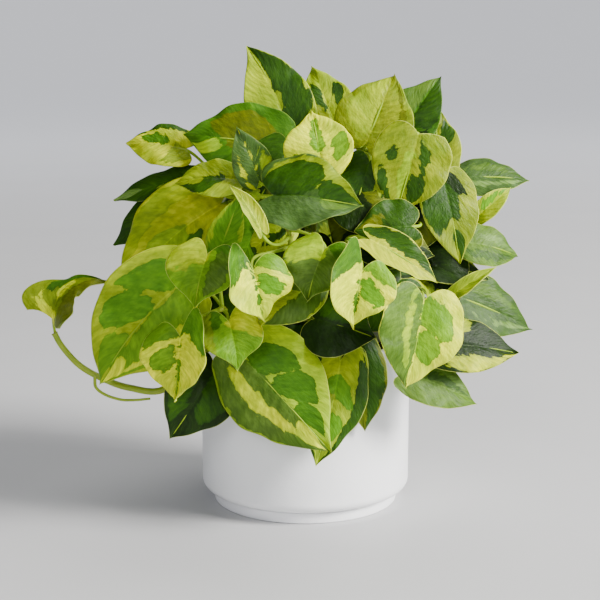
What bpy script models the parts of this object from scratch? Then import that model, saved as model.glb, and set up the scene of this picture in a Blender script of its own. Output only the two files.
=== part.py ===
"""Potted golden pothos: a glazed cylinder planter, its soil, ten rooted vines and the heart-shaped leaves.

Metres, +Z up, the planter's axis on Z and its underside on z = 0.  Foliage is laid out in millimetres
from the middle of the planter's rim, for a planter 156 mm across, and grows or shrinks with the planter.
"""
import bpy
import bmesh
import math
import numpy as np

for old in list(bpy.data.objects):
    bpy.data.objects.remove(old, do_unlink=True)

# ---------------------------------------------------------------- driving dimensions, metres
potDiameter = 0.156
potHeight = 0.125
potWall = 0.005
potFloor = 0.008
footInset = 0.009
footHeight = 0.008
footGroove = 0.0014
skirtRadius = 0.0075
innerFillet = 0.006
soilDrop = 0.015
soilCrown = 0.003
soilGap = 0.0003
rootDepth = 0.026
vineRadius = 0.0022
petioleRadius = 0.0012
leafThickness = 0.0007
clearGap = 0.0006

potRadius = potDiameter / 2
spread = potRadius / 78.0            # metres for one layout millimetre
soilTop = potHeight - soilDrop
rimSegments = 56


def place(x, y, z):
    """layout millimetres above the rim's centre, to metres"""
    return np.array([x * spread, y * spread, potHeight + z * spread])


def normalised(v):
    v = np.asarray(v, float)
    return v / np.maximum(np.linalg.norm(v, axis=-1, keepdims=True), 1e-12)


def material(name, colour, roughness):
    mat = bpy.data.materials.new(name)
    mat.use_nodes = True
    shader = next(n for n in mat.node_tree.nodes if n.type == "BSDF_PRINCIPLED")
    shader.inputs["Base Color"].default_value = (*colour, 1.0)
    shader.inputs["Roughness"].default_value = roughness
    return mat


def solid(name, points, faces, mat, smooth=True):
    mesh = bpy.data.meshes.new(name)
    mesh.from_pydata([tuple(map(float, p)) for p in points], [], faces)
    bm = bmesh.new()
    bm.from_mesh(mesh)
    bmesh.ops.recalc_face_normals(bm, faces=bm.faces)
    if bm.calc_volume(signed=True) < 0:
        bmesh.ops.reverse_faces(bm, faces=bm.faces)
    bm.to_mesh(mesh)
    bm.free()
    mesh.polygons.foreach_set("use_smooth", [smooth] * len(mesh.polygons))
    obj = bpy.data.objects.new(name, mesh)
    bpy.context.scene.collection.objects.link(obj)
    mesh.materials.append(mat)
    return obj


def turned(name, profile, segments, mat):
    """a closed solid of revolution; the profile starts and ends on the axis"""
    points = [(0, 0, profile[0][1])]
    for radius, height in profile[1:-1]:
        for k in range(segments):
            a = 2 * math.pi * k / segments
            points.append((radius * math.cos(a), radius * math.sin(a), height))
    points.append((0, 0, profile[-1][1]))
    rings = len(profile) - 2
    at = lambda ring, k: 1 + ring * segments + k % segments
    faces = [(0, at(0, k + 1), at(0, k)) for k in range(segments)]
    for ring in range(rings - 1):
        faces += [(at(ring, k), at(ring, k + 1), at(ring + 1, k + 1), at(ring + 1, k))
                  for k in range(segments)]
    faces += [(len(points) - 1, at(rings - 1, k), at(rings - 1, k + 1)) for k in range(segments)]
    return solid(name, points, faces, mat)


def fillet(centreR, centreZ, radius, start, stop, steps):
    turns = [math.radians(start + (stop - start) * k / steps) for k in range(steps + 1)]
    return [(centreR + radius * math.cos(a), centreZ + radius * math.sin(a)) for a in turns]


# ---------------------------------------------------------------- planter
glaze = material("white_glaze", (0.86, 0.87, 0.88), 0.35)
footRadius = potRadius - footInset
lip = potWall * 0.3
innerRadius = potRadius - potWall
grooveZ = footHeight + footGroove
potProfile = [(0, 0), (footRadius - 0.0015, 0), (footRadius, 0.0015), (footRadius, footHeight),
              (footRadius - footGroove, footHeight + 0.0003), (footRadius - footGroove, grooveZ)]
potProfile += fillet(potRadius - skirtRadius, grooveZ + skirtRadius, skirtRadius, -90, 0, 5)
potProfile += fillet(potRadius - lip, potHeight - lip, lip, 0, 90, 3)
potProfile += fillet(innerRadius + lip, potHeight - lip, lip, 90, 180, 3)
potProfile += fillet(innerRadius - innerFillet, potFloor + innerFillet, innerFillet, 0, -90, 3)
potProfile += [(0, potFloor)]
pot = turned("planter", potProfile, rimSegments, glaze)

# ---------------------------------------------------------------- soil
soilMat = material("potting_soil", (0.07, 0.045, 0.03), 0.95)
soilR = innerRadius * math.cos(math.pi / rimSegments) - soilGap
soilBase = potFloor + soilGap
soilChamfer = innerFillet + 0.002
soilProfile = [(0, soilBase), (soilR - soilChamfer, soilBase),
               (soilR - soilChamfer * 0.35, soilBase + soilChamfer * 0.35), (soilR, soilBase + soilChamfer),
               (soilR, soilTop - 0.002), (soilR - 0.004, soilTop),
               (soilR * 0.5, soilTop + soilCrown * 0.75), (0, soilTop + soilCrown)]
soil = turned("soil", soilProfile, 40, soilMat)

# ---------------------------------------------------------------- vines
stemMat = material("vine_green", (0.33, 0.42, 0.10), 0.5)

# each vine: where it leaves the soil (x, y), then the points it grows through
vines = {
    "vine_top": dict(root=(2, 10), way=[(4, 2, 40), (8, -12, 95), (20, -24, 138), (28, -28, 156)]),
    "vine_left": dict(root=(-22, 6), way=[(-28, -4, 40), (-40, -20, 85), (-56, -32, 116), (-66, -34, 130)]),
    "vine_right": dict(root=(26, 4), way=[(38, -6, 45), (58, -22, 85), (78, -28, 106), (88, -22, 112)]),
    "vine_front": dict(root=(-4, -34), way=[(-4, -50, 25), (-6, -72, 55), (-10, -92, 80), (-12, -100, 96)]),
    "vine_front_left": dict(root=(-30, -26), way=[(-44, -48, 15), (-54, -70, 30), (-57, -90, 38),
                                                  (-58, -104, 40)]),
    "vine_front_right": dict(root=(34, -22), way=[(50, -44, 16), (66, -60, 24), (82, -62, 26)]),
    "vine_back": dict(root=(2, 38), way=[(2, 52, 35), (6, 62, 70), (4, 66, 105)]),
    "vine_trailing": dict(root=(-48, -8), way=[(-54, -24, 4), (-64, -48, 7), (-80, -62, -8), (-102, -66, -26),
                                               (-125, -64, -25), (-143, -60, -20), (-161, -56, -11),
                                               (-174, -52, 2), (-180, -50, 12)]),
    "vine_side_shoot": dict(free=True, radius=0.0012,
                            way=[(-150, -63, -17), (-149, -66, -24), (-142, -68, -29), (-131, -70, -32),
                                 (-120, -71, -32), (-110, -71, -31)]),
}


def smoothPath(knots, steps):
    """a rounded curve through the knots (Catmull-Rom)"""
    knots = np.array(knots, float)
    padded = np.vstack([2 * knots[0] - knots[1], knots, 2 * knots[-1] - knots[-2]])
    out = []
    for i in range(len(knots) - 1):
        a, b, c, d = padded[i:i + 4]
        for k in range(steps):
            t = k / steps
            out.append(0.5 * (2 * b + (c - a) * t + (2 * a - 5 * b + 4 * c - d) * t * t
                              + (3 * b - a - 3 * c + d) * t ** 3))
    out.append(knots[-1])
    return np.array(out)


def carriedFrames(path, firstAcross):
    """axes carried along a path without twisting"""
    tangents = normalised(np.gradient(path, axis=0))
    across = []
    last = np.asarray(firstAcross, float)
    for t in tangents:
        last = normalised(last - t * np.dot(last, t))
        across.append(last)
    across = np.array(across)
    return tangents, across, np.cross(tangents, across)


def tube(path, radii, angles, firstAcross):
    """rings of points round a path, one at each of its points"""
    tangents, across, up = carriedFrames(path, firstAcross)
    return (path[:, None, :] + np.asarray(radii)[:, None, None]
            * (np.cos(angles)[None, :, None] * across[:, None, :]
               + np.sin(angles)[None, :, None] * up[:, None, :]))


vinePaths = {}
holes = []
for name, vine in vines.items():
    radius = vine.get("radius", vineRadius)
    knots = [place(*p) for p in vine["way"]]
    if not vine.get("free"):
        x, y = vine["root"][0] * spread, vine["root"][1] * spread
        head = np.array([x, y, soilTop + 0.006])
        path = np.vstack([[x, y, soilTop - rootDepth], smoothPath([head] + knots, 3)])
        holes.append((x, y, radius))
    else:
        path = smoothPath(knots, 3)
    vinePaths[name] = path
    reach = np.linspace(0, 1, len(path))
    radii = radius * (1.0 - 0.28 * reach)
    sides = 6 if vine.get("free") else 7
    rings = tube(path, radii, 2 * math.pi * np.arange(sides) / sides, (1, 0.2, 0.1))
    points = rings.reshape(-1, 3)
    count = len(path)
    node = lambda r, k: r * sides + k % sides
    faces = [(node(r, k), node(r, k + 1), node(r + 1, k + 1), node(r + 1, k))
             for r in range(count - 1) for k in range(sides)]
    faces += [tuple(range(sides))[::-1], tuple((count - 1) * sides + k for k in range(sides))]
    solid(name, points, faces, stemMat)

# planting holes, one straight pocket round each vine's root
holePoints, holeFaces = [], []
for x, y, radius in holes:
    first = len(holePoints)
    for z in (soilTop - rootDepth - clearGap, soilTop + 0.01):
        for k in range(8):
            a = 2 * math.pi * (k + 0.5) / 8
            r = (radius + clearGap) / math.cos(math.pi / 8)
            holePoints.append((x + r * math.cos(a), y + r * math.sin(a), z))
    holeFaces += [(first + k, first + (k + 1) % 8, first + 8 + (k + 1) % 8, first + 8 + k) for k in range(8)]
    holeFaces += [tuple(first + k for k in range(8))[::-1], tuple(first + 8 + k for k in range(8))]
cutter = solid("cutter", holePoints, holeFaces, soilMat)
cut = soil.modifiers.new("planting_holes", "BOOLEAN")
cut.operation = "DIFFERENCE"
cut.solver = "EXACT"
cut.object = cutter
bpy.context.view_layer.update()
baked = bpy.data.meshes.new_from_object(soil.evaluated_get(bpy.context.evaluated_depsgraph_get()))
soil.modifiers.clear()
soil.data = baked
bpy.data.objects.remove(cutter, do_unlink=True)

# ---------------------------------------------------------------- leaves
leafMat = material("leaf_green", (0.16, 0.36, 0.05), 0.4)
leafDefaults = dict(bow=4, side=0, fold=(6, 6), curl=(-14, -14), lobe=(0.16, 0.16), leave=0.35, arrive=0.35,
                    taper=(0, 0, 0, 1))  # how far each half narrows, and where that begins and ends


def leaf(vine, at, base, tip, face, width, **more):
    return dict(leafDefaults, vine=vine, at=at, base=base, tip=tip, face=face, width=width, **more)


leaves = {
    # ---- large leaves hanging over the rim
    "leaf_front_large": leaf("vine_front", 0.45, (-44, -94, 6), (17, -112, -58), (0.1, -0.95, 0.2), 78, bow=5,
                             fold=(-22, 4)),
    "leaf_left_large": leaf("vine_front_left", 0.62, (-86, -92, 56), (-143, -90, -16), (0.05, -0.95, 0.25), 74,
                            bow=6, side=-4, lobe=(0.18, 0.1)),
    "leaf_front_mottled": leaf("vine_front", 0.33, (24, -86, 0), (7, -96, -73), (0.3, -0.95, 0.15), 50),
    "leaf_front_strip": leaf("vine_front_right", 0.30, (38, -73, 6), (42, -75, -54), (0.2, -0.95, 0.1), 36),
    "leaf_under_left": leaf("vine_front_left", 0.34, (-64, -76, -10), (-95, -86, -56), (0.15, -0.95, 0.2), 52,
                            leave=0.12),
    # ---- small cupped hearts
    "leaf_heart_left": leaf("vine_front_left", 0.97, (-84, -120, 24), (-88, -122, -20), (0.0, -0.85, 0.5), 54,
                            fold=(5, 42), lobe=(0.22, 0.45), curl=(-30, 5), taper=(0.5, 0.5, 0.5, 0.92)),
    "leaf_heart_middle": leaf("vine_front", 0.80, (-35, -128, 72), (-28, -126, 36), (0.0, -0.85, 0.5), 50,
                              fold=(42, 5), lobe=(0.5, 0.22), curl=(5, -30), taper=(0.5, 0.5, 0.5, 0.92)),
    "leaf_heart_right": leaf("vine_front", 0.62, (37, -122, 70), (31, -120, 30), (0.0, -0.85, 0.5), 50,
                             fold=(42, 5), lobe=(0.5, 0.22), curl=(5, -30), taper=(0.5, 0.5, 0.5, 0.92)),
    # ---- mid-sized leaves of the front
    "leaf_front_upper_left": leaf("vine_front_left", 0.84, (-66, -112, 78), (-74, -122, 44),
                                  (-0.2, -0.75, 0.6), 50,
                                  lobe=(0.3, 0.3), fold=(20, 10), taper=(0.5, 0.5, 0.5, 0.92)),
    "leaf_front_lower_left": leaf("vine_front_left", 0.74, (-52, -108, 32), (-46, -118, 0),
                                  (0.2, -0.8, 0.55), 42,
                                  lobe=(0.3, 0.3), fold=(10, 20), taper=(0.5, 0.5, 0.5, 0.92)),
    "leaf_front_upper_right": leaf("vine_front", 0.97, (12, -112, 81), (1, -118, 48), (-0.2, -0.75, 0.6), 48,
                                   lobe=(0.3, 0.3), fold=(20, 10), taper=(0.5, 0.5, 0.5, 0.92)),
    "leaf_front_pale": leaf("vine_front", 0.70, (4, -104, 58), (-30, -110, 30), (0.1, -0.85, 0.5), 36),
    "leaf_dark_centre": leaf("vine_front", 0.52, (6, -88, 30), (48, -94, 18), (0.0, -0.9, 0.45), 50),
    # ---- right side
    "leaf_right_round": leaf("vine_front_right", 0.80, (80, -102, 46), (68, -108, -14), (0.25, -0.9, 0.35), 64,
                             fold=(24, 6)),
    "leaf_right_low": leaf("vine_front_right", 0.92, (72, -76, -12), (122, -64, -37), (0.3, -0.8, 0.55), 36),
    "leaf_right_dark": leaf("vine_front_right", 0.99, (90, -74, 10), (152, -54, -2), (0.3, -0.8, 0.5), 42),
    "leaf_right_grey": leaf("vine_right", 0.55, (106, -40, 38), (166, -20, 8), (0.2, -0.85, 0.5), 46),
    "leaf_right_rolled": leaf("vine_right", 0.47, (102, -68, 42), (134, -62, 62), (0.1, -0.8, 0.6), 12,
                              curl=(30, 30)),
    "leaf_right_olive": leaf("vine_right", 0.62, (86, -52, 62), (132, -34, 48), (0.1, -0.6, 0.8), 36),
    "leaf_right_mid": leaf("vine_right", 0.82, (114, -46, 77), (153, -30, 64), (0.2, -0.8, 0.6), 34),
    "leaf_right_high": leaf("vine_right", 0.99, (112, -8, 118), (165, 4, 115), (0.1, -0.7, 0.7), 34),
    "leaf_right_folded": leaf("vine_right", 0.92, (124, -24, 92), (149, -14, 112), (0.2, -0.8, 0.5), 18,
                              fold=(30, 30)),
    # ---- centre
    "leaf_centre_hanging": leaf("vine_right", 0.74, (77, -70, 156), (62, -66, 98), (0.1, -0.95, 0.1), 56,
                          lobe=(0.1, 0.04), leave=0.08),
    "leaf_centre_side": leaf("vine_right", 0.79, (96, -52, 124), (108, -60, 64), (0.2, -0.9, 0.3), 43,
                          lobe=(0.1, 0.1)),
    "leaf_centre_olive": leaf("vine_right", 0.68, (73, -77, 93), (33, -81, 90), (0.0, -0.93, 0.35), 42, bow=2),
    "leaf_centre_rolled": leaf("vine_right", 0.40, (44, -95, 86), (90, -92, 56), (0.1, -0.8, 0.6), 30,
                          curl=(30, 10)),
    # ---- crown
    "leaf_top_right_round": leaf("vine_right", 0.95, (92, -28, 124), (94, -16, 171), (0.1, -0.95, 0.1), 38),
    "leaf_top_right_grey": leaf("vine_top", 0.90, (62, -40, 146), (96, -26, 193), (-0.1, -0.9, 0.3), 42),
    "leaf_top_yellow": leaf("vine_top", 0.97, (42, -56, 148), (62, -42, 195), (-0.1, -0.95, 0.2), 56),
    "leaf_top_back": leaf("vine_top", 0.86, (22, -18, 156), (4, -8, 199), (0.0, -0.95, 0.2), 40),
    "leaf_pale_heart": leaf("vine_top", 0.74, (10, -86, 138), (4, -78, 172), (0.0, -0.9, 0.3), 48,
                            lobe=(0.3, 0.4)),
    "leaf_glossy_centre": leaf("vine_top", 0.60, (-22, -104, 118), (38, -116, 112), (0.0, -0.8, 0.6), 62,
                               fold=(26, 16), bow=3),
    "leaf_upright_grey": leaf("vine_top", 0.65, (-32, -79, 125), (-47, -86, 162), (0.1, -0.95, 0.1), 28,
                              leave=0.15),
    "leaf_curled_pale": leaf("vine_front", 0.90, (-30, -136, 100), (-50, -130, 128), (0.3, -0.8, 0.5), 14,
                             curl=(40, 40)),
    "leaf_spire": leaf("vine_top", 0.80, (-12, -30, 150), (-42, -18, 214), (0.0, -0.95, 0.15), 50, bow=2,
                       side=-4),
    # ---- left side
    "leaf_left_top": leaf("vine_left", 0.99, (-20, -50, 146), (-86, -36, 152), (0.0, -0.9, 0.4), 58),
    "leaf_left_tip": leaf("vine_left", 0.93, (-86, -30, 142), (-129, -18, 144), (0.0, -0.75, 0.65), 38),
    "leaf_left_fold": leaf("vine_left", 0.68, (-50, -78, 126), (-90, -74, 122), (0.0, -0.8, 0.6), 30),
    "leaf_left_olive": leaf("vine_left", 0.62, (-60, -62, 106), (-130, -62, 40), (-0.2, -0.9, 0.4), 72,
                            side=-5),
    "leaf_left_behind": leaf("vine_left", 0.54, (-86, -34, 108), (-138, -30, 72), (-0.3, -0.8, 0.5), 40),
    "leaf_left_dark": leaf("vine_left", 0.72, (-76, -40, 122), (-138, -26, 104), (-0.1, -0.7, 0.7), 28),
    "leaf_left_upright": leaf("vine_left", 0.46, (-60, -84, 74), (-44, -86, 117), (0.0, -0.95, 0.2), 24),
    # ---- trailing vine
    "leaf_trailing": leaf("vine_trailing", 1.0, (-181, -50, 22), (-138, -46, 47), (0.0, -0.95, 0.2),
                          58, bow=1, side=16, fold=(64, 4), curl=(-14, -14), lobe=(0.1, -0.1),
                          taper=(0, 0.85, 0.05, 0.5), leave=0.2, arrive=0.2),
    # ---- back
    "leaf_back_centre": leaf("vine_back", 0.80, (4, 88, 92), (8, 104, 26), (0.0, 0.9, 0.4), 60),
    "leaf_back_left": leaf("vine_back", 0.70, (-46, 70, 88), (-92, 86, 34), (-0.4, 0.8, 0.45), 58),
    "leaf_back_right": leaf("vine_back", 0.62, (52, 70, 84), (98, 82, 28), (0.4, 0.8, 0.45), 58),
    "leaf_back_low": leaf("vine_back", 0.40, (-4, 88, 26), (-8, 98, -36), (0.0, 0.95, 0.25), 54),
    "leaf_back_high": leaf("vine_back", 0.97, (0, 60, 122), (-4, 44, 178), (0.0, 0.8, 0.5), 50),
    "leaf_side_right": leaf("vine_back", 0.50, (84, 30, 62), (142, 40, 30), (0.5, 0.2, 0.8), 50),
}

rowsAlong = np.array([0.0, 0.14, 0.34, 0.58, 0.8])
midribHalf = 0.0016
petioleSteps = 5
petioleNeck = 0.006
endGap = 0.0008


def halfWidth(s):
    """outline of half a leaf, 1 at its widest: rounded shoulders, long point"""
    return (s + 0.12) ** 0.6 * (1 - s) * (1 - 0.35 * s ** 6) / 0.4163


def leafSheet(spec, s, t):
    """the middle surface of a blade: s runs from the petiole to the point, t across from -1 to 1"""
    base, tip = place(*spec["base"]), place(*spec["tip"])
    length = np.linalg.norm(tip - base)
    along = (tip - base) / length
    face = normalised(spec["face"])
    face = normalised(face - along * np.dot(face, along))
    across = np.cross(face, along)
    control = (base + tip) / 2 + (2 * spec["bow"] * face + 2 * spec["side"] * across) * spread
    s, t = np.asarray(s, float)[..., None], np.asarray(t, float)[..., None]
    spine = (1 - s) ** 2 * base + 2 * s * (1 - s) * control + s ** 2 * tip
    heading = normalised(2 * (1 - s) * (control - base) + 2 * s * (tip - control))
    up = normalised(face - heading * (heading @ face)[..., None])
    side = np.cross(up, heading)
    right = t > 0
    fold = np.radians(np.where(right, spec["fold"][1], spec["fold"][0]))
    curl = np.radians(np.where(right, spec["curl"][1], spec["curl"][0]))
    curl = np.where(np.abs(curl) < 1e-3, 1e-3, curl)
    lobe = np.where(right, spec["lobe"][1], spec["lobe"][0])
    reach = np.abs(t)
    narrow = np.where(right, spec["taper"][1], spec["taper"][0])
    ramp = np.clip((s - spec["taper"][2]) / (spec["taper"][3] - spec["taper"][2]), 0, 1)
    half = spec["width"] * spread / 2 * halfWidth(s) * (1 - narrow * ramp * ramp * (3 - 2 * ramp))
    out = half * (np.sin(fold + curl * reach) - np.sin(fold)) / curl
    lift = half * (np.cos(fold) - np.cos(fold + curl * reach)) / curl
    back = lobe * length * np.clip(1 - s / 0.5, 0, 1) ** 2 * np.sin(2.26 * reach ** 0.9)
    return spine + np.sign(t) * out * side + lift * up - back * heading


def petiolePath(spec, base, heading):
    """from the foot of the blade, curving round to meet its vine square on"""
    stem = vinePaths[spec["vine"]]
    spot = spec["at"] * (len(stem) - 1)
    k = min(int(spot), len(stem) - 2)
    centre = stem[k] + (stem[k + 1] - stem[k]) * (spot - k)
    run = normalised(stem[k + 1] - stem[k])
    endsVine = spec["at"] >= 1
    aim = base - heading * np.linalg.norm(base - centre) * 0.3 - centre
    if not endsVine:
        aim = aim - run * np.dot(aim, run)
    aim = normalised(aim)
    start = centre + aim * (endGap if endsVine else vineRadius + clearGap)
    span = np.linalg.norm(base - start)
    leave = base - heading * span * spec["leave"]
    arrive = start + aim * span * spec["arrive"]
    t = np.linspace(0, 1, petioleSteps + 1)[:, None]
    path = ((1 - t) ** 3 * base + 3 * t * (1 - t) ** 2 * leave
            + 3 * t ** 2 * (1 - t) * arrive + t ** 3 * start)
    path[1] = base - heading * max(petioleNeck, np.linalg.norm(path[1] - base))
    return path


def leafSolid(name, spec):
    """blade and petiole as one closed body"""
    half = spec["width"] * spread / 2
    rib = np.minimum(0.34, midribHalf / (half * halfWidth(rowsAlong)))
    edge, inner = np.ones_like(rib), np.full_like(rib, 0.55)
    cols = np.stack([-edge, -inner, -rib, 0 * rib, rib, inner, edge], axis=1)
    rows = np.repeat(rowsAlong[:, None], 7, axis=1)
    sheet = leafSheet(spec, rows, cols)
    point = leafSheet(spec, np.array([1.0]), np.array([0.0]))[0]
    ds = leafSheet(spec, rows + 0.01, cols) - leafSheet(spec, rows - 0.01, cols)
    dt = leafSheet(spec, rows, cols + 0.01) - leafSheet(spec, rows, cols - 0.01)
    outward = normalised(np.cross(ds, dt))
    thick = np.full(rows.shape, leafThickness / 2)
    thick[:, 2:5] += (petioleRadius * 0.8 - leafThickness / 2) * (1 - rows[:, 2:5]) ** 2
    top = sheet + outward * thick[..., None]
    low = sheet - outward * thick[..., None]
    points = list(top.reshape(-1, 3)) + list(low.reshape(-1, 3)) + [point]
    across, count = 7, rows.size
    tip, last = 2 * count, rows.size - across
    faces = []
    for r in range(len(rowsAlong) - 1):
        for c in range(across - 1):
            a, b = r * across + c, r * across + c + 1
            d, e = b + across, a + across
            faces += [(a, b, d, e), (count + e, count + d, count + b, count + a)]
        for c in (0, across - 1):
            a, e = r * across + c, (r + 1) * across + c
            faces.append((a, e, count + e, count + a))
    for c in range(across - 1):
        faces += [(last + c, last + c + 1, tip), (count + last + c + 1, count + last + c, tip)]
    faces += [(last, tip, count + last), (last + across - 1, tip, count + last + across - 1)]
    faces += [(c, c + 1, count + c + 1, count + c) for c in (0, 1, 4, 5)]
    # the petiole grows out of the six points round the foot of the midrib
    path = petiolePath(spec, sheet[0, 3], normalised(sheet[1, 3] - sheet[0, 3]))
    angles = -(math.pi / 6 + math.pi / 3 * np.arange(6))
    rings = tube(path, np.full(len(path), petioleRadius), angles, sheet[0, 4] - sheet[0, 2])[1:]
    ring = [4, 3, 2, count + 2, count + 3, count + 4]
    for turn in rings:
        here = [len(points) + j for j in range(6)]
        points += list(turn)
        faces += [(ring[j], ring[(j + 1) % 6], here[(j + 1) % 6], here[j]) for j in range(6)]
        ring = here
    faces.append(tuple(ring))
    return solid(name, points, faces, leafMat)


for name, spec in leaves.items():
    leafSolid(name, spec)
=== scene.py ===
import bpy
import math
import numpy as np
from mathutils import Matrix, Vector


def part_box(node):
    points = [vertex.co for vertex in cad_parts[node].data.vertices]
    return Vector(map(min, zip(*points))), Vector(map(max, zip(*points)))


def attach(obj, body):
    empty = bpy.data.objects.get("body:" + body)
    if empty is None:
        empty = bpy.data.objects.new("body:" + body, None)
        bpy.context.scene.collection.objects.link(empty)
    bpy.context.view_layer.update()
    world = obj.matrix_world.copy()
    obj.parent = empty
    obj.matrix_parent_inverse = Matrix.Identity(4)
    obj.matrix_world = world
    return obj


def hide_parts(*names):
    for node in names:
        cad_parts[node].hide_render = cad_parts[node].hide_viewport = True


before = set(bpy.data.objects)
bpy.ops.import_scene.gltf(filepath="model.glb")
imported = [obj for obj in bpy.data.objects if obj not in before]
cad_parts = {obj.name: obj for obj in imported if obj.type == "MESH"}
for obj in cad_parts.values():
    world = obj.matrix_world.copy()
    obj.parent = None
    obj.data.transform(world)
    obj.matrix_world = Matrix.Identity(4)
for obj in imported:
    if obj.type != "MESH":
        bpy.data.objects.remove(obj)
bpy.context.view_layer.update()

print("frame loaded,", len(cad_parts), "nodes")
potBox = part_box("planter")
potRadius = (potBox[1][0] - potBox[0][0]) / 2
rimHeight = potBox[1][2]
crown = 0.003                    # how far the soil's middle stands above its edge
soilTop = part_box("soil")[1][2] - crown
spread = potRadius / 78.0        # metres for one layout millimetre


def tint(red, green, blue):      # screen colour, 0 to 255, as linear light
    return tuple((c / 255 / 12.92) if c <= 10 else ((c / 255 + 0.055) / 1.055) ** 2.4
                 for c in (red, green, blue)) + (1.0,)


class Wire:                      # a socket that takes arithmetic; each sign adds a Math node
    def __init__(self, web, socket):
        self.web, self.socket = web, socket

    def math(self, operation, *others):
        return self.web.add("ShaderNodeMath", dict(operation=operation),
                            {i: v for i, v in enumerate((self,) + others)})

    def __add__(self, other): return self.math("ADD", other)
    def __mul__(self, other): return self.math("MULTIPLY", other)
    def __sub__(self, other): return self.math("SUBTRACT", other)
    def __rsub__(self, other): return (self * -1.0) + other
    __radd__, __rmul__ = __add__, __mul__

    def above(self, low, high):  # 0 below low, 1 above high, a soft step between
        return self.web.add("ShaderNodeMapRange", dict(interpolation_type="SMOOTHSTEP"),
                            {0: self, 1: low, 2: high, 3: 0.0, 4: 1.0})

    def most(self, other): return self.math("MAXIMUM", other)


class Web:                       # one material's node tree
    def __init__(self, name, **constants):
        self.material = bpy.data.materials.new(name)
        self.material.use_nodes = True
        self.nodes, self.links = self.material.node_tree.nodes, self.material.node_tree.links
        self.nodes.clear()
        self.shader = self.nodes.new("ShaderNodeBsdfPrincipled")
        self.links.new(self.shader.outputs[0], self.nodes.new("ShaderNodeOutputMaterial").inputs[0])
        for socket, value in constants.items():
            self.shader.inputs[socket.replace("_", " ")].default_value = value

    def add(self, kind, settings=None, sockets=None, out=0):     # any node: its type, its settings, its sockets
        node = self.nodes.new(kind)
        for key, value in (settings or {}).items():
            setattr(node, key, value)
        for key, value in (sockets or {}).items():
            self.plug(node.inputs[key], value)
        return Wire(self, node.outputs[out])

    def plug(self, socket, value):
        if isinstance(value, Wire):
            self.links.new(value.socket, socket)
        else:
            socket.default_value = value

    def feed(self, **inputs):
        for name, value in inputs.items():
            self.plug(self.shader.inputs[name.replace("_", " ")], value)
        return self.material

    def place(self):
        return self.add("ShaderNodeTexCoord", out=3)

    def value(self, name):       # a number kept on the piece's points
        return self.add("ShaderNodeAttribute", dict(attribute_name=name), out=2)

    def hue(self, name):         # a colour kept on the piece's points
        return self.add("ShaderNodeAttribute", dict(attribute_name=name), out=0)

    def mix(self, factor, first, second, blend="MIX"):
        return self.add("ShaderNodeMix", dict(data_type="RGBA", blend_type=blend),
                        {0: factor, 6: first, 7: second}, out=2)

    def times(self, one, other):         # two colours multiplied, channel by channel
        return self.mix(1.0, one, other, "MULTIPLY")

    def noise(self, where, scale, detail=3.0, rough=0.55):
        return self.add("ShaderNodeTexNoise", None,
                        {"Vector": where, "Scale": scale, "Detail": detail, "Roughness": rough})

    def stretch(self, where, x, y, z):
        return self.add("ShaderNodeVectorMath", dict(operation="MULTIPLY"), {0: where, 1: (x, y, z)})

    def bump(self, height, depth, strength=1.0):
        return self.add("ShaderNodeBump", None, {"Height": height, "Distance": depth, "Strength": strength})


def place(x, y, z):              # layout millimetres above the rim's centre, to metres
    return np.array([x * spread, y * spread, rimHeight + z * spread])


def normalised(v):
    v = np.asarray(v, float)
    return v / np.maximum(np.linalg.norm(v, axis=-1, keepdims=True), 1e-12)


def gridFaces(rows, cols, first=0, wrap=False):  # quads of a grid of points, row by row
    r, c = np.meshgrid(np.arange(rows - 1), np.arange(cols if wrap else cols - 1), indexing="ij")
    a, b = r * cols + c, r * cols + (c + 1) % cols
    return np.stack([a, b, b + cols, a + cols], axis=-1).reshape(-1, 4) + first


def makePiece(name, points, faces, material, numbers=None, colours=None, uv=None):
    mesh = bpy.data.meshes.new(name)
    mesh.from_pydata(points.tolist(), [], [tuple(int(i) for i in f) for f in faces])
    mesh.update()
    for key, values in (numbers or {}).items():
        layer = mesh.attributes.new(key, "FLOAT", "POINT")
        layer.data.foreach_set("value", np.asarray(values, np.float32).ravel())
    for key, values in (colours or {}).items():
        layer = mesh.attributes.new(key, "FLOAT_COLOR", "POINT")
        layer.data.foreach_set("color", np.asarray(values, np.float32).ravel())
    if uv is not None:
        corners = np.zeros(len(mesh.loops), np.int32)
        mesh.loops.foreach_get("vertex_index", corners)
        layer = mesh.uv_layers.new(name="veinMap")
        layer.data.foreach_set("uv", np.asarray(uv, np.float32)[corners].ravel())
    mesh.shade_smooth()
    mesh.materials.append(material)
    piece = bpy.data.objects.new(name, mesh)
    bpy.context.scene.collection.objects.link(piece)
    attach(piece, "root")
    return piece


def hashed(*seeds):              # a steady number from 0 to 1 for each seed
    return (math.sin(sum((i + 1.7) * 12.9898 * s for i, s in enumerate(seeds))) * 43758.5453) % 1.0


view = dict(aside=-0.004, back=1.130, height=0.371, tiltDown=11.0, lens=92.58)
cameraData = bpy.data.cameras.new("camera")
cameraData.lens, cameraData.sensor_width = view["lens"], 36.0
camera = bpy.data.objects.new("camera", cameraData)
camera.location = (view["aside"], -view["back"], view["height"])
camera.rotation_euler = (math.radians(90 - view["tiltDown"]), 0, 0)
bpy.context.scene.collection.objects.link(camera)
bpy.context.scene.camera = camera

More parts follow.
